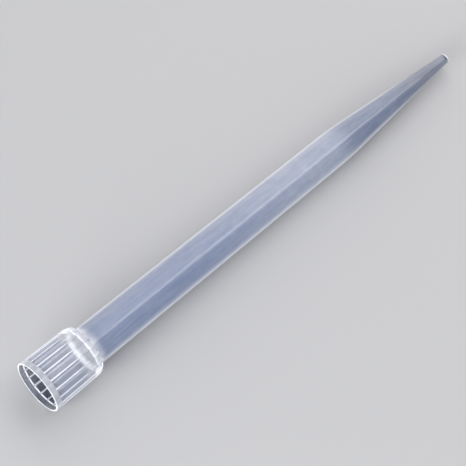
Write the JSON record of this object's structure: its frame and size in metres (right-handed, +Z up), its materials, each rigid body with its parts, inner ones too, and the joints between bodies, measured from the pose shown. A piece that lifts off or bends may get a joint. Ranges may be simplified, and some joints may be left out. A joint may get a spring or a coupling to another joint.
{
  "type": "pipette tip",
  "caption": "Long translucent pipette tip with a ribbed collar, a push-fit socket and a body that narrows to a small outlet, lying as it comes to rest.",
  "frame": {"origin": "middle of the tip's box, on the surface that it lies on", "axes": "+X along the tip from its mouth to its outlet, +Z up from the bench; the tip's own axis falls towards the outlet by 1.43 degrees"},
  "size_m": [0.1502, 0.0152, 0.0152],
  "materials": {
    "polypropylene": "milky translucent moulded plastic with a soft sheen"
  },
  "bodies": {
    "root": {"pipette_tip": "polypropylene"}
  },
  "joints": []
}
